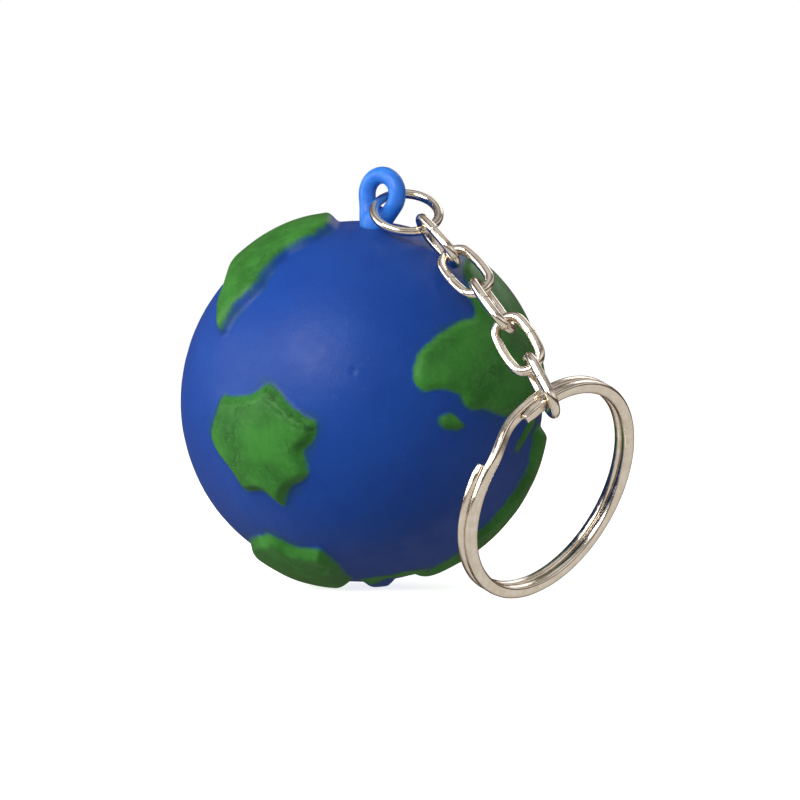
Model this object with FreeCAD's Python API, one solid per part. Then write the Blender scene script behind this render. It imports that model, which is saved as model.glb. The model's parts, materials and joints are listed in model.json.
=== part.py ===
import FreeCAD, Part
import math
import os

# Globe stress ball on a key chain, in millimetres.
# The ball stands on a table, z = 0, and the origin is the middle of its foot.
# +X is to the right, -Y to the front, +Z up.

V = FreeCAD.Vector

# foam ball
SEA_R = 19.65               # radius of the ball at sea level
CENTRE = V(0, 0, 20.3)      # centre of the ball; the southern land is flattened into a foot

# hanger eyelet, moulded plastic, its foot buried in the foam
EYE_WIRE = 1.85             # thickness of the loop
EYE_LOOP_R = 2.15           # radius of the loop's middle line
EYE_RISE = 3.1              # from the ball's surface to the middle of the hole
EYE_ROOT = V(1.5, -3.8, 19.4)   # where it leaves the foam, from the ball's centre
EYE_HEADING = 38            # degrees clockwise from +X, seen from above
EYE_TILT = 18               # degrees from upright, towards the chain
EYE_FOOT = 0.5              # half the distance between the loop's two legs at the root
STEM_R = 1.45
STEM_COLLAR = 0.5           # how far the stem rises over the root
STEM_DEPTH = 6.5
ANCHOR_R = 3.2
ANCHOR_T = 1.4

# jump ring
JUMP_WIRE = 1.0
JUMP_R = 3.48               # radius of the wire's middle line
JUMP_HEADING = 42.5
JUMP_DIP = 29
JUMP_ROLL = 23

# chain of five oval links, draped over the ball
WIRE = 1.08
LINK_LENGTH = 7.84
LINK_WIDTH = 4.6
CHAIN_HEADING = 50.5
CHAIN_START = (10.55, 18.95)   # reach and height of the first contact, from the ball's centre
LINK_DIPS = (35.5, 36, 42.5, 46.5, 50.5)
LINK_ROLLS = (-50, 42, -28, 58, -56)
PLAY = 0.10                 # gap between two wires that hang in each other

# split ring
RING_OD = 25.0
RING_RADIAL = 1.35          # width of the wire across the ring
RING_COIL_T = 0.97          # thickness of one coil
RING_COIL_GAP = 0.06
RING_CORNER = 0.3
RING_CENTRE = V(19.55, -16.6, -8.49)  # from the ball's centre
RING_AXIS = V(0.70, -0.60, -0.39)
RING_STEP_AT = 138          # degrees round the ring where the wire has stepped to the lower coil
RING_STEP = 25              # degrees that the step takes
RING_END_GAP = 3            # degrees that each free end stops short of the step
RING_POINTS = 96            # points along the wire's two turns

# Lands: name, height over the sea, outline as (heading, height angle) in degrees about the
# ball's centre. Heading 90 is the front, 0 the right; height angle 90 is straight up.
LANDS = (
    ("front_left", 1.1, ((142, -8), (136, 3), (128, 4), (119, 6), (110, 0), (104, -6), (108, -14),
                         (107, -20), (114, -25), (120, -31), (126, -27), (134, -25), (140, -16))),
    ("top_left", 1.45, ((143, 25), (154, 37), (172, 47), (-168, 55), (-150, 68), (-140, 80),
                        (110, 80), (106, 68), (120, 62), (131, 54), (134, 44), (137, 32))),
    ("right", 0.5, ((74, 8), (72, 17), (58, 25), (47, 29), (42, 38), (34, 48), (10, 52), (-14, 46),
                    (-32, 20), (-26, -4), (0, -3), (28, -3), (48, -1), (58, 4), (67, 5))),
    ("islet", 0.5, ((65, -4), (61, -2), (56, -5), (59, -8), (64, -7))),
    ("south_east", 1.0, ((17, -8), (16, -22), (21, -34), (28, -46), (20, -54), (-2, -52),
                         (-22, -36), (-18, -14), (0, -9))),
    ("south", 1.05, ((144, -46), (134, -44), (126, -48), (110, -48), (104, -58), (86, -67),
                     (69, -63), (50, -61), (30, -64), (0, -72), (-60, -72), (-120, -66),
                     (-170, -58), (160, -50))),
    ("back_left", 0.9, ((-160, 30), (-128, 38), (-112, 20), (-118, -6), (-134, -30),
                        (-158, -34), (-172, -8))),
    ("back_right", 0.9, ((-66, 46), (-44, 40), (-48, 14), (-62, -6), (-80, -26), (-96, -8),
                         (-92, 24))),
)


def heading_dip(heading, dip):
    """Unit vector that points along a heading and down by the dip."""
    a, d = math.radians(heading), math.radians(dip)
    return V(math.cos(d) * math.cos(a), -math.cos(d) * math.sin(a), -math.sin(d))


def sideways(heading):
    """Level unit vector square to a heading, to its left seen from above."""
    return heading_dip(heading - 90, 0)


def placed(shape, at, x_axis, z_axis):
    """Moves a shape from the origin to a frame given by two square unit vectors."""
    y_axis = z_axis.cross(x_axis)
    turn = FreeCAD.Rotation(x_axis, y_axis, z_axis, "ZXY")
    shape.Placement = FreeCAD.Placement(at, turn)
    return shape


def rolled(along, side, roll):
    """The side vector turned about the along vector, away from the ball for a positive roll."""
    out = along.cross(side)
    r = math.radians(roll)
    return side * math.cos(r) + out * math.sin(r)


def land(height, outline):
    """A raised land: the part of a thicker ball inside a cone through the outline."""
    corners = [heading_dip(h, -up) for h, up in outline]
    middle = sum(corners, V()).normalize()
    rings = []
    for radius in (0.8 * SEA_R, 2.0 * SEA_R):
        curve = Part.BSplineCurve()
        curve.interpolate([c * (radius / c.dot(middle)) for c in corners], PeriodicFlag=True)
        rings.append(Part.Wire(curve.toShape()))
    cone = Part.makeLoft(rings, True, True)
    return cone.common(Part.makeSphere(SEA_R + height))


def foam_ball(pocket):
    """The foam globe with its lands, its foot and the pocket that holds the eyelet's foot."""
    ball = Part.makeSphere(SEA_R)
    ball = ball.fuse([land(height, outline) for _, height, outline in LANDS])
    ball.translate(CENTRE)
    table = Part.makeBox(60, 60, 20, V(-30, -30, -20))
    return ball.cut([table, pocket])


def eyelet_frame():
    out = heading_dip(EYE_HEADING, EYE_TILT - 90)
    side = sideways(EYE_HEADING)
    return out, side


def hanger_eyelet():
    """Teardrop loop in its own XZ plane, root at the origin, with its stem and anchor disc."""
    foot = V(-EYE_FOOT, 0, 0)
    to_hole = V(0, 0, EYE_RISE) - foot
    spread = math.asin(EYE_LOOP_R / to_hole.Length)
    run = math.sqrt(to_hole.Length ** 2 - EYE_LOOP_R ** 2)
    aim = math.atan2(to_hole.z, to_hole.x) + spread
    along = V(math.cos(aim), 0, math.sin(aim))
    left = foot + along * run
    bow = Part.Wire(Part.Arc(left, V(0, 0, EYE_RISE + EYE_LOOP_R), V(-left.x, 0, left.z)).toShape())
    profile = Part.Wire(Part.makeCircle(EYE_WIRE / 2, left, along))
    legs = [Part.makeCylinder(EYE_WIRE / 2, run, V(x, 0, 0), V(lean, 0, along.z))
            for x, lean in ((foot.x, along.x), (-foot.x, -along.x))]
    loop = bow.makePipeShell([profile], True, True)
    stem = Part.makeCylinder(STEM_R, STEM_DEPTH + STEM_COLLAR, V(0, 0, -STEM_DEPTH))
    anchor = Part.makeCylinder(ANCHOR_R, ANCHOR_T, V(0, 0, -STEM_DEPTH - ANCHOR_T))
    return loop.fuse(legs + [stem, anchor])


def jump_ring():
    """Round wire ring about its own Z axis, closed by a butt joint."""
    return Part.makeTorus(JUMP_R, JUMP_WIRE / 2)


def oval_link():
    """Stadium of round wire, its length along X and its width along Y."""
    half = (LINK_WIDTH - WIRE) / 2
    straight = (LINK_LENGTH - LINK_WIDTH) / 2
    corners = [V(straight, half, 0), V(straight, -half, 0), V(-straight, -half, 0), V(-straight, half, 0)]
    path = Part.Wire([
        Part.LineSegment(corners[3], corners[0]).toShape(),
        Part.Arc(corners[0], V(straight + half, 0, 0), corners[1]).toShape(),
        Part.LineSegment(corners[1], corners[2]).toShape(),
        Part.Arc(corners[2], V(-straight - half, 0, 0), corners[3]).toShape(),
    ])
    profile = Part.Wire(Part.makeCircle(WIRE / 2, corners[3], V(1, 0, 0)))
    return path.makePipeShell([profile], True, True)


def ring_section(at, outwards):
    """Rectangle with rounded corners: the split ring's wire cut across."""
    w, t, c = RING_RADIAL / 2, RING_COIL_T / 2, RING_CORNER
    k = c * (1 - math.sqrt(0.5))
    corners = (((w - c, t), (w - k, t - k), (w, t - c)),
               ((w, c - t), (w - k, k - t), (w - c, -t)),
               ((c - w, -t), (k - w, k - t), (-w, c - t)),
               ((-w, t - c), (k - w, t - k), (c - w, t)))
    rounds = [[at + outwards * x + V(0, 0, z) for x, z in corner] for corner in corners]
    edges = []
    for this, following in zip(rounds, rounds[1:] + rounds[:1]):
        edges.append(Part.Arc(*this).toShape())
        edges.append(Part.LineSegment(this[2], following[0]).toShape())
    return Part.Wire(edges)


def split_ring():
    """Two coils of one flattened wire about Z, stepped from the upper to the lower coil."""
    radius = (RING_OD - RING_RADIAL) / 2
    level = (RING_COIL_T + RING_COIL_GAP) / 2
    first = RING_STEP_AT - RING_END_GAP
    last = RING_STEP_AT + RING_STEP + RING_END_GAP - 720
    step_from = RING_STEP_AT + RING_STEP - 360
    points = []
    for i in range(RING_POINTS + 1):
        angle = first + (last - first) * i / RING_POINTS
        s = min(1.0, max(0.0, (step_from - angle) / RING_STEP))
        a = math.radians(angle)
        points.append(V(radius * math.cos(a), radius * math.sin(a), level * math.cos(math.pi * s)))
    curve = Part.BSplineCurve()
    curve.interpolate(points)
    outwards = V(points[0].x, points[0].y, 0).normalize()
    sweep = Part.BRepOffsetAPI.MakePipeShell(Part.Wire(curve.toShape()))
    sweep.setBiNormalMode(V(0, 0, 1))
    sweep.add(ring_section(points[0], outwards))
    sweep.build()
    sweep.makeSolid()
    return sweep.shape()


def chain_parts():
    """The jump ring and the five links, each hung in the one before it."""
    side = sideways(CHAIN_HEADING)
    reach, height = CHAIN_START
    contact = CENTRE + heading_dip(CHAIN_HEADING, 0) * reach + V(0, 0, height)
    pull = heading_dip(JUMP_HEADING, JUMP_DIP)
    middle = contact - pull * (JUMP_R - JUMP_WIRE / 2 - PLAY)
    across = rolled(pull, sideways(JUMP_HEADING), JUMP_ROLL)
    parts = {"jump_ring": placed(jump_ring(), middle, pull, pull.cross(across))}
    inner = LINK_LENGTH - 2 * WIRE
    for i, (dip, roll) in enumerate(zip(LINK_DIPS, LINK_ROLLS), 1):
        along = heading_dip(CHAIN_HEADING, dip)
        across = rolled(along, side, roll)
        parts[f"chain_link_{i}"] = placed(
            oval_link(), contact + along * (inner / 2), along, along.cross(across))
        contact = contact + along * (inner - PLAY)
    return parts


def main():
    os.makedirs("parts", exist_ok=True)
    out, side = eyelet_frame()
    eyelet = placed(hanger_eyelet(), CENTRE + EYE_ROOT, side.cross(out), out)
    axis = V(RING_AXIS).normalize()
    level = V(0, 0, 1).cross(axis).normalize()
    parts = {
        "foam_ball": foam_ball(eyelet),
        "hanger_eyelet": eyelet,
        **chain_parts(),
        "split_ring": placed(split_ring(), CENTRE + RING_CENTRE, level, axis),
    }
    for name, shape in parts.items():
        solid = shape.Solids[0]
        print(name, "solids", len(shape.Solids), "volume", round(solid.Volume, 2), shape.isValid())
        solid.exportStep(f"parts/{name}.step")


main()
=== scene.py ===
import bmesh
import bpy
import json
import math
import numpy as np
from mathutils import Matrix, Vector, noise


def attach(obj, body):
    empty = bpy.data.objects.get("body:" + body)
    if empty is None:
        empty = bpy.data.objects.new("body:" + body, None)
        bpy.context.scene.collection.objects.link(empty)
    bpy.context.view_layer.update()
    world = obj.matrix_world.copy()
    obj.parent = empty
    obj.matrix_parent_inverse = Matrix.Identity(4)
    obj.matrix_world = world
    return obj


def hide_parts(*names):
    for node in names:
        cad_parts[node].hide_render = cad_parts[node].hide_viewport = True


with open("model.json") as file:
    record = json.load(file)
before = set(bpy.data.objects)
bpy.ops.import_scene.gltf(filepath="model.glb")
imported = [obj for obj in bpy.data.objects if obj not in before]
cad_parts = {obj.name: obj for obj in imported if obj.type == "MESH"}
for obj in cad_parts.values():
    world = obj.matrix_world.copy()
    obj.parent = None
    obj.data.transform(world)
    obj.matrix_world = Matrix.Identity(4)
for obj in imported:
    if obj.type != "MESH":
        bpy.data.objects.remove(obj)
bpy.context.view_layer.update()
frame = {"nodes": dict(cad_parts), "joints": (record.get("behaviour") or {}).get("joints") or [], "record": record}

# Globe stress ball on a key chain. Metres; +X right, -Y front, +Z up, z = 0 is the table.
MM = 0.001

# foam ball
SEA_R = 19.65 * MM
CENTRE = np.array([0.0, 0.0, 20.3 * MM])
GRID = 126                      # quads along one edge of the cube that is blown up into the ball
EYE_ROOT = np.array([1.5, -3.8, 19.4]) * MM     # where the eyelet leaves the foam
DIMPLE_DEPTH = 0.42 * MM
DIMPLE_R = 3.2 * MM
FOOT_ROUND = 0.12 * MM          # how softly the foot turns up from the table

# Lands: height over the sea, width of the slope, how far inside the edge of the paint the middle
# of the slope lies (all mm; None where the land is bare), and the outline as (heading, height
# angle) in degrees about the ball's centre. Heading 90 is the front, 0 the right.
LANDS = {
    "front_left": (1.1, 1.3, 0.45, (
        (143, -8), (140, -2), (137, 3), (131, 3), (124, 4), (119, 7), (115, 4), (108, -2),
        (103, -5), (105, -10), (108, -13), (107, -17), (107, -21), (112, -24), (116, -28),
        (119, -32), (122, -30), (126, -27), (133, -27), (137, -21), (141, -15))),
    "top_left": (1.35, 1.4, -0.15, (
        (143, 24), (149, 30), (156, 39), (172, 47), (-168, 55), (-150, 66), (-150, 78),
        (150, 80), (132, 76), (120, 71), (121, 66), (123, 62), (129, 57), (133, 53), (133, 48),
        (135, 43), (135, 38), (138, 33), (141, 29))),
    "right": (0.5, 1.1, 0.35, (
        (73, 9), (72, 14), (70, 18), (66, 21), (60, 24), (52, 27), (46, 29), (43, 36), (38, 45),
        (26, 51), (4, 52), (-14, 46), (-32, 20), (-26, -4), (0, -3), (28, -3), (42, -3),
        (50, -1), (56, 0), (58, 4), (63, 5), (69, 4.5), (72, 6))),
    "islet": (0.45, 0.7, 0.2, ((65, -3), (62, -2), (58, -4), (56, -6), (60, -7), (64, -6))),
    "south_east": (1.0, 1.4, 0.4, (
        (17, -8), (16, -22), (21, -34), (28, -46), (23, -54), (17, -62), (14, -68), (-30, -72),
        (-40, -60), (-24, -36), (-18, -14), (0, -9))),
    "streak": (0.2, 1.0, 0.2, ((22, -4), (26, -8), (30, -13), (28, -14), (22, -9), (18, -5))),
    "south_west": (1.05, 1.5, 0.4, (
        (144, -46), (139, -46), (134, -45), (129, -47), (125, -50), (116, -51), (110, -50),
        (107, -53), (104, -59), (101, -67), (104, -76), (180, -84), (-110, -80), (-120, -66),
        (-170, -58), (158, -49))),
    "south_ridge": (0.75, 1.2, None, (
        (82, -77), (60, -76), (0, -80), (-63, -67), (-82, -69), (0, -87))),
    "south_band": (0.2, 0.8, 0.1, (
        (92, -75), (70, -72), (50, -68), (36, -66), (24, -67), (30, -71), (50, -73), (70, -75.5),
        (92, -77))),
    "back_left": (0.9, 1.5, 0.4, (
        (-148, 30), (-138, 37), (-126, 34), (-112, 20), (-110, 8), (-120, -6), (-128, -20),
        (-134, -32), (-144, -36), (-150, -32), (-152, -20), (-155, -8), (-152, 8))),
    "back_right": (0.9, 1.5, 0.4, (
        (-66, 46), (-44, 40), (-40, 26), (-50, 14), (-56, 2), (-68, -8), (-80, -26), (-90, -22),
        (-96, -8), (-88, 8), (-92, 24), (-80, 34))),
}
CURVE_STEPS = 5                 # points that a smooth outline has between two given ones
LAND_RIM = 0.88                 # height of a land near its coast, as a share of its middle's
LAND_INLAND = 5                 # mm from the coast to where it is as high as in the middle
UNPAINTED = -9.0                # stands for far from any paint
ANY_SIDE = (0.3, 0.5, 0.81)     # a direction that no land's middle points along
FAR_ROUND = -0.2                # cosine of how far round the ball a land can still be felt

# creased ridge on the front-left land: its two ends, its reach (mm) and its relief (mm)
RIDGE = ((121, 6), (104, -7))
RIDGE_REACH = 1.5
RIDGE_RELIEF = 0.22
RIDGE_FULL = 0.2                # mm from its line to where the folds are deepest

# pits in the skin: direction, radius (mm), depth (mm)
PITS = (((92, 11), 0.30, 0.14), ((131, -11), 0.25, 0.10), ((113, -60), 0.5, 0.3),
        ((40, -22), 0.3, 0.12), ((-60, 10), 0.35, 0.14), ((170, -12), 0.3, 0.12))

# unevenness of the skin: the size of each layer of noise, its strength and its seed
WOBBLE_SIZE = 3.0 * MM          # of the coasts
WOBBLE = 0.012                  # as a share of the ball's radius
WOBBLE_SEEDS = (11.3, 27.9, 43.1)
SWELL_SIZE = 7 * MM             # of the surface, with its strength in mm
SWELL = 0.07
SWELL_SEED = 5.5
PITTING_SIZE = 1.8 * MM
PITTING = 0.02
PITTING_SEED = 8.5
FOLD_RATE = 9.0                 # radians of the ridge's folds in a mm across it
FOLD_BEND = 3.5                 # how far noise shifts them, in radians
FOLD_SIZE = 0.9 * MM
FOLD_SEED = 61.7

# camera
CAMERA_DISTANCE = 420 * MM
CAMERA_RIGHT = 4.17 * MM        # the ball's centre is this far left of the camera's line
CAMERA_RAISE = 0.10 * MM
CAMERA_ELEVATION = 2.0
CAMERA_LENS = 173.9             # with a sensor this wide, both in mm
CAMERA_SENSOR = 36
CAMERA_CLIP = 0.01

# studio
# Each world stop is a place, 0 straight down and 1 straight up, and the colour there.
WORLD_LIGHT = ((0.0, (0.14, 0.14, 0.14)), (0.30, (0.38, 0.38, 0.38)), (0.5, (0.32, 0.32, 0.32)),
               (1.0, (0.15, 0.15, 0.15)))
WORLD_MIRROR = ((0.0, (0.66, 0.64, 0.60)), (0.36, (0.74, 0.71, 0.66)), (0.43, (0.12, 0.08, 0.06)),
                (0.54, (0.03, 0.02, 0.015)), (0.60, (0.60, 0.57, 0.53)), (0.72, (0.80, 0.78, 0.75)),
                (0.80, (0.12, 0.10, 0.09)), (1.0, (0.45, 0.44, 0.43)))
MIRROR_BACK = (0.10, 0.065, 0.045, 1)       # what the metal sees behind the ball
MIRROR_BACK_FROM = 0.35         # how far back its direction leans where that begins
MIRROR_BACK_TO = 0.80           # and where nothing else is left
FLOOR_HALF = 4.0
FLOOR_WHITE = (0.93, 0.93, 0.93, 1)
FLOOR_ROUGHNESS = 0.9
FLOOR_GLOW = 0.81               # keeps the floor near white without more light on the ball

# lights: name, heading, height angle, distance, size, power in watts, colour
LIGHTS = (("key", 125, 30, 0.45, 0.24, 1.7, (1.0, 0.98, 0.96)),
          ("left", 172, 12, 0.50, 0.30, 1.0, (1, 1, 1)),
          ("fill", 40, 25, 0.60, 0.35, 0.15, (1, 1, 1)),
          ("top", 90, 80, 0.50, 0.40, 0.12, (1, 1, 1)),
          ("rim", -60, 35, 0.60, 0.30, 0.5, (1, 1, 1)))


def direction(heading, height):
    """Unit vector from the ball's centre for a heading and a height angle, in degrees."""
    a, h = math.radians(heading), math.radians(height)
    return np.array([math.cos(h) * math.cos(a), -math.cos(h) * math.sin(a), math.sin(h)])


def unit(v):
    return v / np.linalg.norm(v, axis=-1, keepdims=True)


def smoothstep(low, high, x):
    t = np.clip((x - low) / (high - low), 0.0, 1.0)
    return t * t * (3 - 2 * t)


# ---------------------------------------------------------------- camera and studio

def make_camera():
    e = math.radians(CAMERA_ELEVATION)
    back = Vector((0, -math.cos(e), math.sin(e)))
    up = Vector((0, math.sin(e), math.cos(e)))
    right = Vector((1, 0, 0))
    data = bpy.data.cameras.new("camera")
    data.lens = CAMERA_LENS
    data.sensor_width = CAMERA_SENSOR
    data.clip_start = CAMERA_CLIP
    camera = bpy.data.objects.new("camera", data)
    at = Vector(CENTRE) + right * CAMERA_RIGHT + up * CAMERA_RAISE + back * CAMERA_DISTANCE
    turn = Matrix((right, up, back)).transposed().to_4x4()
    camera.matrix_world = Matrix.Translation(at) @ turn
    bpy.context.scene.collection.objects.link(camera)
    bpy.context.scene.camera = camera


def area_light(name, heading, height, distance, size, power, colour):
    """A square soft light that looks at the ball."""
    data = bpy.data.lights.new(name, "AREA")
    data.size = size
    data.energy = power
    data.color = colour
    light = bpy.data.objects.new(name, data)
    d = Vector(direction(heading, height))
    light.location = Vector(CENTRE) + d * distance
    light.rotation_euler = d.to_track_quat("Z", "Y").to_euler()
    bpy.context.scene.collection.objects.link(light)


def make_world():
    """White to the eye, dim as a light, and banded in reflections."""
    world = bpy.data.worlds.new("studio")
    bpy.context.scene.world = world
    world.use_nodes = True
    nodes, links = world.node_tree.nodes, world.node_tree.links
    nodes.clear()
    where = nodes.new("ShaderNodeTexCoord")
    split = nodes.new("ShaderNodeSeparateXYZ")
    links.new(where.outputs["Generated"], split.inputs[0])
    rise = nodes.new("ShaderNodeMath")
    rise.operation = "MULTIPLY_ADD"
    rise.inputs[1].default_value = 0.5
    rise.inputs[2].default_value = 0.5
    links.new(split.outputs["Z"], rise.inputs[0])

    def background(stops):
        """Background whose colour changes with height. The ramp sorts its stops by place, so
        all places are set before the colours."""
        ramp = nodes.new("ShaderNodeValToRGB")
        elements = ramp.color_ramp.elements
        while len(elements) < len(stops):
            elements.new(0.5)
        for element, stop in zip(elements, stops):
            element.position = stop[0]
        for element, stop in zip(elements, stops):
            element.color = stop[1] + (1,)
        links.new(rise.outputs[0], ramp.inputs[0])
        shade = nodes.new("ShaderNodeBackground")
        links.new(ramp.outputs["Color"], shade.inputs["Color"])
        return shade.outputs[0]

    def choose(which, no, yes):
        """One shader for rays of a kind, another for all the rest."""
        mix = nodes.new("ShaderNodeMixShader")
        links.new(path.outputs[which], mix.inputs[0])
        links.new(no, mix.inputs[1])
        links.new(yes, mix.inputs[2])
        return mix.outputs[0]

    path = nodes.new("ShaderNodeLightPath")
    plain = nodes.new("ShaderNodeBackground")
    plain.inputs["Color"].default_value = (1, 1, 1, 1)
    behind = nodes.new("ShaderNodeBackground")
    behind.inputs["Color"].default_value = MIRROR_BACK
    far = nodes.new("ShaderNodeMapRange")
    far.interpolation_type = "SMOOTHSTEP"
    far.inputs["From Min"].default_value = MIRROR_BACK_FROM
    far.inputs["From Max"].default_value = MIRROR_BACK_TO
    links.new(split.outputs["Y"], far.inputs["Value"])
    mirror = nodes.new("ShaderNodeMixShader")
    links.new(far.outputs["Result"], mirror.inputs[0])
    links.new(background(WORLD_MIRROR), mirror.inputs[1])
    links.new(behind.outputs[0], mirror.inputs[2])
    lit = choose("Is Glossy Ray", background(WORLD_LIGHT), mirror.outputs[0])
    out = nodes.new("ShaderNodeOutputWorld")
    links.new(choose("Is Camera Ray", lit, plain.outputs[0]), out.inputs["Surface"])


def make_floor():
    """Pale sheet. The world stands in for it in bounce light and reflections."""
    mesh = bpy.data.meshes.new("floor")
    r = FLOOR_HALF
    mesh.from_pydata([(-r, -r, 0), (r, -r, 0), (r, r, 0), (-r, r, 0)], [], [(0, 1, 2, 3)])
    floor = bpy.data.objects.new("floor", mesh)
    bpy.context.scene.collection.objects.link(floor)
    material = new_material("floor_paper")
    shader = material.node_tree.nodes["shader"]
    shader.inputs["Base Color"].default_value = FLOOR_WHITE
    shader.inputs["Roughness"].default_value = FLOOR_ROUGHNESS
    shader.inputs["Emission Color"].default_value = (1, 1, 1, 1)
    shader.inputs["Emission Strength"].default_value = FLOOR_GLOW
    mesh.materials.append(material)
    floor.visible_diffuse = False
    floor.visible_glossy = False
    floor.visible_shadow = False


# ---------------------------------------------------------------- materials

SEA_DARK, SEA_LIGHT = (0.005, 0.043, 0.28), (0.008, 0.068, 0.36)
SEA_SPECK = (0.03, 0.12, 0.44)
OVERSPRAY = (0.012, 0.075, 0.07)
LEAF_DARK, LEAF_LIGHT = (0.024, 0.142, 0.018), (0.044, 0.235, 0.030)
LEAF_SPECK = (0.08, 0.26, 0.055)
CRAZE_LINE = (0.012, 0.060, 0.012)
# painted shade: the dark green laid in the floors of the ridge's folds, where shade falls
PAINTED_CREASE_SHADE = (0.012, 0.070, 0.016)
CRAZE_SIZE = 4.8 * MM           # one cell of the craze lines
CRAZE_BEND = 4.5 * MM           # how far noise moves the lines
EYELET_DARK, EYELET_LIGHT = (0.020, 0.160, 0.66), (0.050, 0.270, 0.82)
NICKEL_WARM, NICKEL_PALE = (0.76, 0.67, 0.56), (0.86, 0.79, 0.70)
NICKEL_WORN = (0.42, 0.33, 0.25)
NICKEL_STRETCH = (1.0, 7.0, 1.6)    # scratches run across this

# sizes of the noise in each surface, and how deep its relief looks
COAST_FRAY = 2.2 * MM           # the uneven edge of the paint
MIST_SIZE = 5.5 * MM            # patches of overspray past the coast
SEA_PATCH = 6 * MM
SEA_SPECK_SIZE = 0.35 * MM
LEAF_PATCH = 4 * MM
LEAF_SPECK_SIZE = 0.5 * MM
CRAZE_PATCH = 5 * MM            # patches that have craze lines
CRAZE_WIDTH = 0.022             # of a line, as a share of a cell
CRAZE_DARK = 0.45
FOAM_SHINE_SIZE = 2.5 * MM
FOAM_ROUGH = (0.42, 0.52)
FOAM_SPECULAR = 0.22
FOAM_SHEEN = 0.02
FOAM_SHEEN_ROUGHNESS = 0.5
FOAM_GRAIN = 0.28 * MM
FOAM_LUMPS = 1.6 * MM
FOAM_RELIEF = 0.05 * MM
EYELET_FLOW = 2.2 * MM
EYELET_SHINE_SIZE = 0.9 * MM
EYELET_ROUGH = (0.26, 0.40)
EYELET_SCATTER = 0.80           # share of the light that scatters inside the plastic
EYELET_SCATTER_RGB = (0.3, 0.6, 1.0)
EYELET_SCATTER_DEPTH = 1.2 * MM
EYELET_IOR = 1.45
EYELET_SPECULAR = 0.35
EYELET_RIPPLE = 0.8 * MM
EYELET_RELIEF = 0.03 * MM
NICKEL_HAZE = 1.1 * MM
NICKEL_WEAR = 0.5 * MM
NICKEL_ROUGH = (0.10, 0.24)
NICKEL_SCRATCH = 0.5 * MM
NICKEL_RELIEF = 0.012 * MM


def new_material(name):
    material = bpy.data.materials.new(name)
    material.use_nodes = True
    nodes = material.node_tree.nodes
    nodes.clear()
    out = nodes.new("ShaderNodeOutputMaterial")
    shader = nodes.new("ShaderNodeBsdfPrincipled")
    shader.name = "shader"
    material.node_tree.links.new(shader.outputs[0], out.inputs["Surface"])
    return material


class Nodes:
    """Short calls for the nodes of one material."""

    def __init__(self, material):
        self.tree = material.node_tree
        self.shader = self.tree.nodes["shader"]
        self.place = self.add("ShaderNodeTexCoord").outputs["Object"]

    def add(self, kind, **values):
        node = self.tree.nodes.new(kind)
        for key, value in values.items():
            setattr(node, key, value)
        return node

    def link(self, source, target):
        if isinstance(source, (int, float, tuple)):
            target.default_value = source
        else:
            self.tree.links.new(source, target)

    def noise(self, size, detail=3.0, rough=0.55, distortion=0.0):
        """Noise with features of about the given size in metres, from 0 to 1."""
        node = self.add("ShaderNodeTexNoise")
        node.inputs["Scale"].default_value = 1 / size
        node.inputs["Detail"].default_value = detail
        node.inputs["Roughness"].default_value = rough
        node.inputs["Distortion"].default_value = distortion
        self.link(self.place, node.inputs["Vector"])
        return node.outputs["Fac"]

    def cracks(self, size, jitter):
        """Distance to the nearest edge of a Voronoi pattern whose lines are bent by noise."""
        bend = self.add("ShaderNodeTexNoise")
        bend.inputs["Scale"].default_value = 1.5 / size
        self.link(self.place, bend.inputs["Vector"])
        shift = self.add("ShaderNodeVectorMath", operation="MULTIPLY_ADD")
        self.link(bend.outputs["Color"], shift.inputs[0])
        shift.inputs[1].default_value = (jitter, jitter, jitter)
        self.link(self.place, shift.inputs[2])
        cells = self.add("ShaderNodeTexVoronoi", feature="DISTANCE_TO_EDGE")
        cells.inputs["Scale"].default_value = 1 / size
        self.link(shift.outputs[0], cells.inputs["Vector"])
        return cells.outputs["Distance"]

    def attribute(self, name):
        return self.add("ShaderNodeAttribute", attribute_name=name).outputs["Fac"]

    def span(self, value, low, high, to_low=0.0, to_high=1.0):
        """Smooth step of a value from one span to another."""
        node = self.add("ShaderNodeMapRange", interpolation_type="SMOOTHSTEP")
        self.link(value, node.inputs["Value"])
        for key, number in (("From Min", low), ("From Max", high),
                            ("To Min", to_low), ("To Max", to_high)):
            node.inputs[key].default_value = number
        return node.outputs["Result"]

    def math(self, operation, a, b):
        node = self.add("ShaderNodeMath", operation=operation)
        self.link(a, node.inputs[0])
        self.link(b, node.inputs[1])
        return node.outputs[0]

    def mix(self, factor, a, b):
        """Colour a where the factor is 0, b where it is 1."""
        node = self.add("ShaderNodeMix", data_type="RGBA")
        self.link(factor, node.inputs["Factor"])
        for value, key in ((a, "A"), (b, "B")):
            socket = [s for s in node.inputs if s.name == key and s.type == "RGBA"][0]
            self.link(value + (1,) if isinstance(value, tuple) else value, socket)
        return [s for s in node.outputs if s.type == "RGBA"][0]

    def bump(self, height, distance, strength=1.0):
        node = self.add("ShaderNodeBump")
        node.inputs["Distance"].default_value = distance
        node.inputs["Strength"].default_value = strength
        self.link(height, node.inputs["Height"])
        self.link(node.outputs["Normal"], self.shader.inputs["Normal"])


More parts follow.
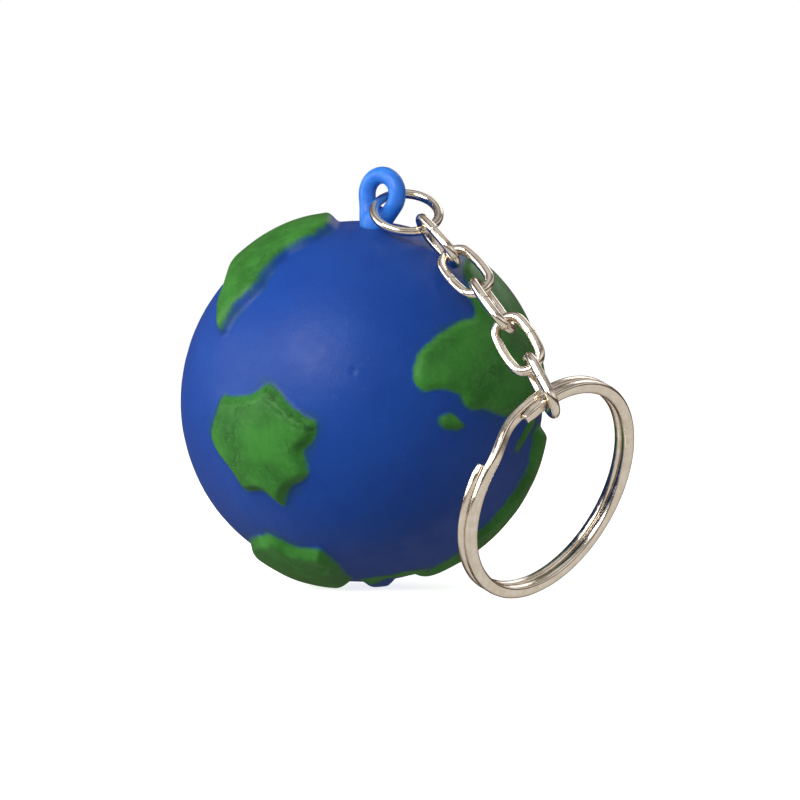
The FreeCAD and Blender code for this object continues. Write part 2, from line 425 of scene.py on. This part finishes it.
def foam_material():
    """Blue self-skinned foam with airbrushed green lands, fine cracks, painted shade in the ridge's folds and a
    dull sheen.
    """
    material = new_material("painted_foam")
    n = Nodes(material)
    paint = n.attribute("paint")
    edge = n.math("ADD", paint, n.span(n.noise(COAST_FRAY), 0.3, 0.7, -0.14, 0.14))
    green = n.span(edge, -0.30, 0.25)
    mist = n.math("ADD", paint, n.span(n.noise(MIST_SIZE, 2), 0.35, 0.65, -1.0, 0.3))
    blue = n.mix(n.noise(SEA_PATCH, 4), SEA_DARK, SEA_LIGHT)
    blue = n.mix(n.span(mist, -1.4, 0.2, 0.0, 0.55), blue, OVERSPRAY)
    blue = n.mix(n.span(n.noise(SEA_SPECK_SIZE, 2), 0.62, 0.80, 0.0, 0.35), blue, SEA_SPECK)
    leaf = n.mix(n.span(n.noise(LEAF_PATCH, 5), 0.3, 0.7), LEAF_DARK, LEAF_LIGHT)
    leaf = n.mix(n.span(n.noise(LEAF_SPECK_SIZE, 3), 0.45, 0.8, 0.0, 0.4), leaf, LEAF_SPECK)
    craze = n.cracks(CRAZE_SIZE, CRAZE_BEND)
    broken = n.span(n.noise(CRAZE_PATCH, 2), 0.50, 0.62)
    line = n.math("MULTIPLY", n.span(craze, 0.0, CRAZE_WIDTH, 1.0, 0.0), broken)
    line = n.math("MULTIPLY", line, n.span(paint, 0.5, 1.3))
    leaf = n.mix(n.math("MULTIPLY", line, CRAZE_DARK), leaf, CRAZE_LINE)
    # painted shade in the ridge's folds: the deeper the fold, the darker the green
    leaf = n.mix(n.span(n.attribute("crease"), 0.3, 1.0, 0.0, 0.7), leaf, PAINTED_CREASE_SHADE)
    n.link(n.mix(green, blue, leaf), n.shader.inputs["Base Color"])
    n.link(n.span(n.noise(FOAM_SHINE_SIZE, 4), 0.3, 0.7, *FOAM_ROUGH), n.shader.inputs["Roughness"])
    n.shader.inputs["Specular IOR Level"].default_value = FOAM_SPECULAR
    n.shader.inputs["Sheen Weight"].default_value = FOAM_SHEEN
    n.shader.inputs["Sheen Roughness"].default_value = FOAM_SHEEN_ROUGHNESS
    grain = n.math("MULTIPLY", n.noise(FOAM_GRAIN, 3), 0.5)
    grain = n.math("ADD", grain, n.math("MULTIPLY", n.noise(FOAM_LUMPS, 3), 1.1))
    n.bump(n.math("SUBTRACT", grain, n.math("MULTIPLY", line, 0.9)), FOAM_RELIEF, 0.9)
    return material


def eyelet_material():
    """Light-blue plastic, milky because light scatters inside it, with faint flow marks."""
    material = new_material("translucent_plastic")
    n = Nodes(material)
    colour = n.mix(n.noise(EYELET_FLOW, 3, distortion=1.5), EYELET_DARK, EYELET_LIGHT)
    n.link(colour, n.shader.inputs["Base Color"])
    n.link(n.span(n.noise(EYELET_SHINE_SIZE, 4), 0.3, 0.7, *EYELET_ROUGH), n.shader.inputs["Roughness"])
    n.shader.inputs["Subsurface Weight"].default_value = EYELET_SCATTER
    n.shader.inputs["Subsurface Radius"].default_value = EYELET_SCATTER_RGB
    n.shader.inputs["Subsurface Scale"].default_value = EYELET_SCATTER_DEPTH
    n.shader.inputs["IOR"].default_value = EYELET_IOR
    n.shader.inputs["Specular IOR Level"].default_value = EYELET_SPECULAR
    n.bump(n.noise(EYELET_RIPPLE, 2), EYELET_RELIEF, 0.6)
    return material


def nickel_material():
    """Warm bright nickel plate, with fine wear scratches and a little haze."""
    material = new_material("nickel_plate")
    n = Nodes(material)
    haze = n.noise(NICKEL_HAZE, 5, 0.6)
    tone = n.mix(n.span(haze, 0.35, 0.7), NICKEL_WARM, NICKEL_PALE)
    tone = n.mix(n.span(n.noise(NICKEL_WEAR, 4), 0.62, 0.78, 0.0, 0.5), tone, NICKEL_WORN)
    n.link(tone, n.shader.inputs["Base Color"])
    n.shader.inputs["Metallic"].default_value = 1.0
    n.link(n.span(haze, 0.3, 0.75, *NICKEL_ROUGH), n.shader.inputs["Roughness"])
    stretch = n.add("ShaderNodeMapping")
    stretch.inputs["Scale"].default_value = NICKEL_STRETCH
    n.link(n.place, stretch.inputs["Vector"])
    scratch = n.add("ShaderNodeTexNoise")
    scratch.inputs["Scale"].default_value = 1 / NICKEL_SCRATCH
    scratch.inputs["Detail"].default_value = 5
    n.link(stretch.outputs[0], scratch.inputs["Vector"])
    n.bump(n.math("ADD", scratch.outputs["Fac"], n.math("MULTIPLY", haze, 2.0)), NICKEL_RELIEF, 0.8)
    return material


# ---------------------------------------------------------------- mesh helpers

def face_outwards(mesh):
    shape = bmesh.new()
    shape.from_mesh(mesh)
    bmesh.ops.recalc_face_normals(shape, faces=shape.faces)
    shape.to_mesh(mesh)
    shape.free()


def add_piece(name, points, faces, material, body):
    mesh = bpy.data.meshes.new(name)
    mesh.from_pydata([tuple(p) for p in points], [], faces)
    face_outwards(mesh)
    mesh.polygons.foreach_set("use_smooth", [True] * len(mesh.polygons))
    mesh.materials.append(material)
    piece = bpy.data.objects.new(name, mesh)
    bpy.context.scene.collection.objects.link(piece)
    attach(piece, body)
    return piece


def grid_faces(rows, columns, closed):
    """Quads between rows of points that each close on themselves; the rows may close too."""
    faces = []
    for i in range(rows if closed else rows - 1):
        j = (i + 1) % rows
        for k in range(columns):
            m = (k + 1) % columns
            faces.append((i * columns + k, i * columns + m, j * columns + m, j * columns + k))
    return faces


def tube(path, across, section_at, closed=True):
    """Points of a section carried along a path; section_at gives the section at each point."""
    path = np.asarray(path)
    if closed:
        ahead = np.roll(path, -1, 0) - np.roll(path, 1, 0)
    else:
        ahead = np.gradient(path, axis=0)
    ahead = unit(ahead)
    across = unit(np.broadcast_to(across, path.shape))
    out = unit(np.cross(ahead, across))
    across = np.cross(out, ahead)
    rings = []
    for i, (at, a, b) in enumerate(zip(path, out, across)):
        section = section_at(i)
        rings.append(at + section[:, :1] * a + section[:, 1:] * b)
    return np.concatenate(rings)


def circle(radius, sides):
    t = np.arange(sides) * 2 * math.pi / sides
    return np.stack([radius * np.cos(t), radius * np.sin(t)], 1)


def node_frame(node):
    """Middle and own axes, longest first, of a CAD node that is symmetric about them."""
    mesh = frame["nodes"][node].data
    mesh.calc_loop_triangles()
    points = np.array([v.co for v in mesh.vertices])
    corners = np.array([points[list(t.vertices)] for t in mesh.loop_triangles])
    area = np.linalg.norm(np.cross(corners[:, 1] - corners[:, 0],
                                   corners[:, 2] - corners[:, 0]), axis=1) / 2
    middles = corners.mean(1)
    middle = (middles * area[:, None]).sum(0) / area.sum()
    spread = np.zeros((3, 3))
    for k in range(3):
        d = (corners[:, k] + corners[:, (k + 1) % 3]) / 2 - middle
        spread += (d * area[:, None]).T @ d
    axes = np.linalg.eigh(spread)[1].T[::-1]
    return middle, axes


# ---------------------------------------------------------------- foam ball

def smooth_outline(outline):
    """Closed Catmull-Rom curve through an outline's directions."""
    corners = np.array([direction(*p) for p in outline])
    before, after, far = np.roll(corners, 1, 0), np.roll(corners, -1, 0), np.roll(corners, -2, 0)
    points = []
    for k in range(CURVE_STEPS):
        t = k / CURVE_STEPS
        points.append(0.5 * (2 * corners + (after - before) * t
                             + (2 * before - 5 * corners + 4 * after - far) * t ** 2
                             + (3 * corners - before - 3 * after + far) * t ** 3))
    return unit(np.stack(points, 1).reshape(-1, 3))


def flattened(directions, middle, side):
    """Directions as points of a plane, in mm along the sea, true to distance from the middle."""
    up = np.cross(middle, side)
    turn = np.arccos(np.clip(directions @ middle, -1, 1))
    flat = np.stack([directions @ side, directions @ up], -1)
    scale = np.where(turn > 1e-6, turn / np.maximum(np.sin(turn), 1e-6), 1.0)
    return flat * (scale * SEA_R / MM)[..., None]


def inside_distance(directions, outline):
    """Distance in mm from an outline along the sea, positive inside it."""
    middle = unit(outline.mean(0))
    side = unit(np.cross(middle, ANY_SIDE))
    shape = flattened(outline, middle, side)
    near = directions @ middle > FAR_ROUND
    at = flattened(directions[near], middle, side)
    start, end = shape, np.roll(shape, -1, 0)
    distance = np.full(len(at), 99.0)
    inside = np.zeros(len(at), bool)
    for a, b in zip(start, end):
        along = b - a
        t = np.clip((at - a) @ along / (along @ along), 0, 1)
        distance = np.minimum(distance, np.linalg.norm(at - a - t[:, None] * along, axis=1))
        crosses = (a[1] > at[:, 1]) != (b[1] > at[:, 1])
        height = along[1] if along[1] else 1e-9
        inside ^= crosses & (at[:, 0] < a[0] + (at[:, 1] - a[1]) * along[0] / height)
    result = np.full(len(directions), -99.0)
    result[near] = np.where(inside, distance, -distance)
    return result


def cube_ball():
    """Directions and quads of a cube blown up into a ball, with even quads."""
    steps = np.tan(np.linspace(-math.pi / 4, math.pi / 4, GRID + 1))
    a, b = np.meshgrid(steps, steps, indexing="ij")
    one = np.ones_like(a)
    sides = [np.stack(s, -1) for s in ((one, a, b), (-one, b, a), (b, one, a), (a, -one, b),
                                       (a, b, one), (b, a, -one))]
    points = np.concatenate([s.reshape(-1, 3) for s in sides])
    first, back = np.unique(np.round(points, 6), axis=0, return_index=True,
                            return_inverse=True)[1:]
    back = back.reshape(-1)
    size = (GRID + 1) ** 2
    i, j = np.meshgrid(np.arange(GRID), np.arange(GRID), indexing="ij")
    corner = (i * (GRID + 1) + j).reshape(-1)
    quads = []
    for k in range(6):
        q = np.stack([corner, corner + GRID + 1, corner + GRID + 2, corner + 1], 1) + k * size
        quads.append(back[q])
    return unit(points[first]), np.concatenate(quads)


def noise_at(points, size, seed):
    """Smooth noise from about -1 to 1 at points in metres, with features of the given size."""
    place = points / size + seed
    return np.array([noise.noise(Vector(p)) for p in place])


def rim_lift(inland):
    """Share of a land's height that it has this many mm from its coast."""
    return LAND_RIM + (1 - LAND_RIM) * smoothstep(0, LAND_INLAND, inland)


def make_globe(material):
    directions, quads = cube_ball()
    surface = directions * SEA_R
    wobble = np.stack([noise_at(surface, WOBBLE_SIZE, seed) for seed in WOBBLE_SEEDS], 1)
    warped = unit(directions + wobble * WOBBLE)
    height = np.zeros(len(directions))
    paint = np.full(len(directions), UNPAINTED)
    for land_height, slope, inset, outline in LANDS.values():
        d = inside_distance(warped, smooth_outline(outline))
        if inset is not None:
            paint = np.maximum(paint, d)
            d = d - inset
        rise = smoothstep(-slope / 2, slope / 2, d) * rim_lift(d)
        height = np.maximum(height, land_height * rise)
    height += (SWELL * noise_at(surface, SWELL_SIZE, SWELL_SEED)
               + PITTING * noise_at(surface, PITTING_SIZE, PITTING_SEED))
    crease = ridge_creases(surface) * smoothstep(0.0, 0.5, paint)
    height += crease
    for where, radius, depth in PITS:
        d = np.linalg.norm(directions - direction(*where), axis=1) * SEA_R / MM
        height -= depth * np.exp(-(d / radius) ** 2)
    away = np.linalg.norm(surface - EYE_ROOT, axis=1)
    height -= DIMPLE_DEPTH / MM * np.exp(-(away / DIMPLE_R) ** 2)
    points = CENTRE + directions * (SEA_R + height * MM)[:, None]
    z = points[:, 2]
    points[:, 2] = (z + np.sqrt(z ** 2 + FOOT_ROUND ** 2)) / 2
    globe = add_piece("globe", points, quads.tolist(), material, "ball")
    # the crease attribute, the depth of the ridge's folds, also drives the painted shade in them
    for name, values in (("paint", paint), ("crease", np.abs(crease) / RIDGE_RELIEF)):
        attribute = globe.data.attributes.new(name, "FLOAT", "POINT")
        attribute.data.foreach_set("value", np.clip(values, -3, 3))
    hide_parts("foam_ball")


def ridge_creases(surface):
    """Folds in mm along the steep upper right side of the front-left land."""
    a, b = (direction(*p) * SEA_R / MM for p in RIDGE)
    along = b - a
    at = surface / MM
    t = (at - a) @ along / (along @ along)
    off = np.linalg.norm(at - a - np.clip(t, 0, 1)[:, None] * along, axis=1)
    near = smoothstep(RIDGE_REACH, RIDGE_FULL, off)
    folds = np.sin(off * FOLD_RATE + FOLD_BEND * noise_at(surface, FOLD_SIZE, FOLD_SEED))
    return -RIDGE_RELIEF * near * smoothstep(0.1, 0.9, folds)


# ---------------------------------------------------------------- eyelet

EYE_BAND = 0.93 * MM            # half the band's thickness in the loop's plane
EYE_FLAT = 0.95 * MM            # and across it
EYE_LOOP_R = 2.06 * MM
EYE_RISE = 3.1 * MM             # from the foam to the middle of the hole
EYE_WAIST = 0.35 * MM           # half the distance between the two legs at their sunk ends
EYE_SINK = 1.2 * MM             # how deep the legs run on into the foam
EYE_SKIRT_R = 1.60 * MM         # the flare where the eyelet meets the foam
EYE_WEB = 1.85 * MM             # top of the web that closes the foot of the hole
WEB_R = 1.2 * MM
WEB_FLAT = 0.62                 # its thickness as a share of its width
EYE_FLARE = 0.30                # how much thicker the legs get at the foam, as a share
EYE_FLARE_FROM = 1.6 * MM       # height where that begins
EYE_FLARE_FULL = -0.2 * MM      # and where it is complete
STEM_R = 1.40 * MM
STEM_DEPTH = 6.5 * MM
ANCHOR_R = 3.2 * MM
ANCHOR_T = 1.4 * MM
EYE_SIDES = 28                  # points round the band
BOW_STEPS = 48
LEG_STEPS = 13
EYE_VOXEL = 0.13 * MM           # of the mesh that welds loop, web and stem
EYE_SOFTEN = 6                  # rounds of smoothing


def lathe(profile, sides=48):
    """Points and faces of a closed solid turned about Z from (radius, height) pairs."""
    points = [(0, 0, profile[0][1])]
    for r, z in profile:
        for k in range(sides):
            a = 2 * math.pi * k / sides
            points.append((r * math.cos(a), r * math.sin(a), z))
    points.append((0, 0, profile[-1][1]))
    faces = [tuple(1 + v for v in f) for f in grid_faces(len(profile), sides, False)]
    top = len(points) - 1
    last = 1 + (len(profile) - 1) * sides
    for k in range(sides):
        m = (k + 1) % sides
        faces.append((0, 1 + m, 1 + k))
        faces.append((top, last + k, last + m))
    return np.array(points), faces


def loop_path():
    """Teardrop loop of the eyelet in its own XZ plane, from one sunk leg round to the other."""
    foot = np.array([-EYE_WAIST, 0, -EYE_SINK])
    to_hole = np.array([0, 0, EYE_RISE]) - foot
    reach = np.linalg.norm(to_hole)
    aim = math.atan2(to_hole[2], to_hole[0]) + math.asin(EYE_LOOP_R / reach)
    run = math.sqrt(reach ** 2 - EYE_LOOP_R ** 2)
    left = foot + run * np.array([math.cos(aim), 0, math.sin(aim)])
    start = math.atan2(left[2] - EYE_RISE, left[0]) % (2 * math.pi)
    turns = np.linspace(start, math.pi - start, BOW_STEPS)
    bow = [np.array([EYE_LOOP_R * math.cos(a), 0, EYE_RISE + EYE_LOOP_R * math.sin(a)])
           for a in turns]
    leg = [foot + (left - foot) * t for t in np.arange(LEG_STEPS) / LEG_STEPS]
    mirror = [p * np.array([-1, 1, 1]) for p in reversed(leg)]
    return np.array(leg + bow + mirror)


def make_eyelet(material):
    axes = node_frame("hanger_eyelet")[1]
    out = axes[0] if axes[0][2] > 0 else -axes[0]
    swing = next(j for j in frame["joints"] if j["name"] == "jump_ring_swing")
    hole = np.array(swing["pos_m"])
    side = -np.array(swing["axis"])
    along = np.cross(side, out)
    root = hole - out * EYE_RISE
    path = loop_path()
    sides = EYE_SIDES
    band = circle(1.0, sides)

    def section(i):
        low = smoothstep(EYE_FLARE_FROM, EYE_FLARE_FULL, path[i][2])
        return band * (EYE_BAND, EYE_FLAT * (1 + EYE_FLARE * low))

    loop = tube(path, (0, 1, 0), section, closed=False)
    loop_faces = grid_faces(len(path), sides, False)
    loop_faces.append(tuple(range(sides - 1, -1, -1)))
    loop_faces.append(tuple(range(len(loop) - sides, len(loop))))
    stem, stem_faces = lathe([
        (ANCHOR_R, -STEM_DEPTH - ANCHOR_T), (ANCHOR_R, -STEM_DEPTH), (STEM_R, -STEM_DEPTH),
        (STEM_R, -EYE_SINK), (EYE_SKIRT_R, -0.6 * MM), (EYE_SKIRT_R * 0.93, 0.15 * MM),
        (STEM_R, 0.7 * MM), (STEM_R * 0.7, 1.1 * MM)])
    web, web_faces = lathe([(WEB_R, -0.6 * MM), (WEB_R, 0.5 * EYE_WEB),
                            (0.9 * MM, 0.85 * EYE_WEB), (0.4 * MM, EYE_WEB)])
    web = web * (1, WEB_FLAT, 1)
    points = np.concatenate([loop, stem, web])
    faces = loop_faces + [tuple(v + len(loop) for v in f) for f in stem_faces]
    faces += [tuple(v + len(loop) + len(stem) for v in f) for f in web_faces]
    turn = np.stack([along, side, out], 1)
    piece = add_piece("eyelet", points @ turn.T + root, faces, material, "ball")
    merge_smooth(piece, EYE_VOXEL, EYE_SOFTEN)
    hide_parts("hanger_eyelet")


def merge_smooth(piece, voxel, rounds):
    """Welds a piece's overlapping shells into one skin and softens the joins."""
    remesh = piece.modifiers.new("weld", "REMESH")
    remesh.mode = "VOXEL"
    remesh.voxel_size = voxel
    soften = piece.modifiers.new("soften", "SMOOTH")
    soften.iterations = rounds
    bpy.context.view_layer.update()
    evaluated = piece.evaluated_get(bpy.context.evaluated_depsgraph_get())
    mesh = bpy.data.meshes.new_from_object(evaluated)
    material = piece.data.materials[0]
    piece.modifiers.clear()
    piece.data = mesh
    mesh.materials.clear()
    mesh.materials.append(material)
    mesh.polygons.foreach_set("use_smooth", [True] * len(mesh.polygons))


# ---------------------------------------------------------------- chain

WIRE = 1.08 * MM
LINK_LENGTH = 7.84 * MM
LINK_WIDTH = 4.6 * MM
LINK_BOW = 1.62 * MM            # radius of the end arcs, at the middle of the wire
LAST_BOW = 1.74 * MM            # and of the last link, which has to pass both coils of the split ring
JUMP_WIRE = 1.0 * MM
JUMP_R = 3.48 * MM
SEAM = 0.05 * MM                # half the width of the groove at a butt joint
SEAM_DEPTH = 0.10 * MM          # and its depth
SEAM_SPAN = 3                   # the mesh is finer this many seam widths to each side
SEAM_POINTS = 13
WIRE_SIDES = 28
LINK_COUNT = 5
LINK_STEPS = 110
LINK_SEAM_AT = 0.5              # share of the way round where a link is closed
JUMP_STEPS = 120
JUMP_SEAM_AT = 0.62


def seam_scale(distance):
    """How much the wire thins this far from its butt joint, as a share of its radius."""
    return 1 - (SEAM_DEPTH / (WIRE / 2)) * math.exp(-(distance / SEAM) ** 2)


def refined(count, seam_at, length):
    """Parameters round a closed wire, with extra ones close to the joint."""
    even = np.arange(count) / count
    fine = seam_at + np.linspace(-SEAM_SPAN, SEAM_SPAN, SEAM_POINTS) * SEAM / length
    keep = [t for t in even if abs(t - seam_at) * length > (SEAM_SPAN + 0.5) * SEAM]
    return np.array(sorted(keep + list(fine % 1.0)))


def oval(t, length, width, bow):
    """Point at a share of the way round an oval of four arcs along X, from a side's middle."""
    drop = ((length / 2 - bow) ** 2 - (width / 2 - bow) ** 2) / (width - 2 * bow)
    side = width / 2 + drop
    turn = math.atan2(length / 2 - bow, drop)
    quarter = side * turn + bow * (math.pi / 2 - turn)
    part, s = divmod((t % 1.0) * 4 * quarter, quarter)
    if part in (1, 3):
        s = quarter - s
    if s < side * turn:
        x, y = side * math.sin(s / side), side * math.cos(s / side) - drop
    else:
        a = turn + (s - side * turn) / bow
        x, y = length / 2 - bow + bow * math.sin(a), bow * math.cos(a)
    return (x if part < 2 else -x), (y if part in (0, 3) else -y)


def make_link(number, material):
    node = f"chain_link_{number}"
    middle, axes = node_frame(node)
    along, across = axes[0], axes[1]
    if along[2] > 0:
        along = -along
    if across[1] < 0:
        across = -across
    length, width = LINK_LENGTH - WIRE, LINK_WIDTH - WIRE
    around = 2 * (length - width) + math.pi * width
    shares = refined(LINK_STEPS, LINK_SEAM_AT, around)
    bow = LAST_BOW if number == LINK_COUNT else LINK_BOW
    flat = [oval(t, length, width, bow) for t in shares]
    path = np.array([middle + x * along + y * across for x, y in flat])
    section = circle(WIRE / 2, WIRE_SIDES)
    scales = [seam_scale(abs(t - LINK_SEAM_AT) * around) for t in shares]
    points = tube(path, np.cross(along, across), lambda i: section * scales[i])
    faces = grid_faces(len(path), WIRE_SIDES, True)
    piece = add_piece(f"link_{number}", points, faces, material, node)
    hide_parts(node)


def make_jump_ring(material):
    middle, axes = node_frame("jump_ring")
    normal = axes[2]
    side = unit(np.cross(normal, [0, 0, 1]))
    up = np.cross(side, normal)
    around = 2 * math.pi * JUMP_R
    shares = refined(JUMP_STEPS, JUMP_SEAM_AT, around)
    path = np.array([middle + JUMP_R * (math.cos(2 * math.pi * t) * side
                                        + math.sin(2 * math.pi * t) * up) for t in shares])
    section = circle(JUMP_WIRE / 2, WIRE_SIDES)
    scales = [seam_scale(abs(t - JUMP_SEAM_AT) * around) for t in shares]
    points = tube(path, normal, lambda i: section * scales[i])
    faces = grid_faces(len(path), WIRE_SIDES, True)
    piece = add_piece("jump_ring_wire", points, faces, material, "jump_ring")
    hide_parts("jump_ring")


# ---------------------------------------------------------------- split ring

RING_OD = 25.0 * MM
RING_RADIAL = 1.35 * MM
RING_COIL_T = 0.97 * MM
RING_COIL_GAP = 0.06 * MM
RING_CORNER = 0.34 * MM
RING_STEP_AT = 138              # degrees round the ring where the step between the coils ends
RING_STEP = 25                  # degrees that the step takes
RING_END_GAP = 3                # degrees between the step and each free end
RING_POINTS = 620
RING_TAPER = 6.0                # degrees over which a free end thins out
RING_END_SCALE = 0.80           # to this share of the wire
RING_BEVEL = 0.05 * MM
RING_BEVEL_STEPS = 2
RING_BEVEL_OVER = 50            # degrees; only edges sharper than this are beveled


def rounded_rectangle(width, height, corner, steps=5):
    points = []
    for k, (sx, sy) in enumerate(((1, 1), (-1, 1), (-1, -1), (1, -1))):
        for s in range(steps + 1):
            a = math.pi / 2 * (k + s / steps)
            points.append((sx * (width / 2 - corner) + corner * math.cos(a),
                           sy * (height / 2 - corner) + corner * math.sin(a)))
    return np.array(points)


def make_split_ring(material):
    mount = next(m for m in frame["record"]["mounts"] if m["name"] == "key_ring")
    centre = np.array(mount["pos_m"])
    axis = unit(np.array(mount["axis"]))
    level = unit(np.cross([0, 0, 1], axis))
    up = np.cross(axis, level)
    radius = (RING_OD - RING_RADIAL) / 2
    lift = (RING_COIL_T + RING_COIL_GAP) / 2
    first = RING_STEP_AT - RING_END_GAP
    last = RING_STEP_AT + RING_STEP + RING_END_GAP - 720
    step_from = RING_STEP_AT + RING_STEP - 360
    angles = np.linspace(first, last, RING_POINTS)
    s = np.clip((step_from - angles) / RING_STEP, 0, 1)
    heights = lift * np.cos(math.pi * s)
    a = np.radians(angles)[:, None]
    spokes = np.cos(a) * level + np.sin(a) * up
    path = centre + radius * spokes + heights[:, None] * axis
    section = rounded_rectangle(RING_RADIAL, RING_COIL_T, RING_CORNER)
    ends = np.minimum(first - angles, angles - last)
    thin = RING_END_SCALE + (1 - RING_END_SCALE) * smoothstep(0, RING_TAPER, ends)
    rings = [p + section[:, :1] * t * spoke + section[:, 1:] * t * axis
             for p, spoke, t in zip(path, spokes, thin)]
    points = np.concatenate(rings)
    sides = len(section)
    faces = grid_faces(len(path), sides, False)
    faces.append(tuple(range(sides)))
    faces.append(tuple(range(len(points) - 1, len(points) - sides - 1, -1)))
    piece = add_piece("key_ring", points, faces, material, "split_ring")
    bevel = piece.modifiers.new("cut_edges", "BEVEL")
    bevel.width = RING_BEVEL
    bevel.segments = RING_BEVEL_STEPS
    bevel.angle_limit = math.radians(RING_BEVEL_OVER)
    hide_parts("split_ring")


# ---------------------------------------------------------------- the whole

def main():
    bpy.context.scene.view_settings.view_transform = "Standard"
    make_camera()
    make_world()
    for light in LIGHTS:
        area_light(*light)
    make_floor()
    make_globe(foam_material())
    make_eyelet(eyelet_material())
    nickel = nickel_material()
    make_jump_ring(nickel)
    for number in range(1, LINK_COUNT + 1):
        make_link(number, nickel)
    make_split_ring(nickel)


main()
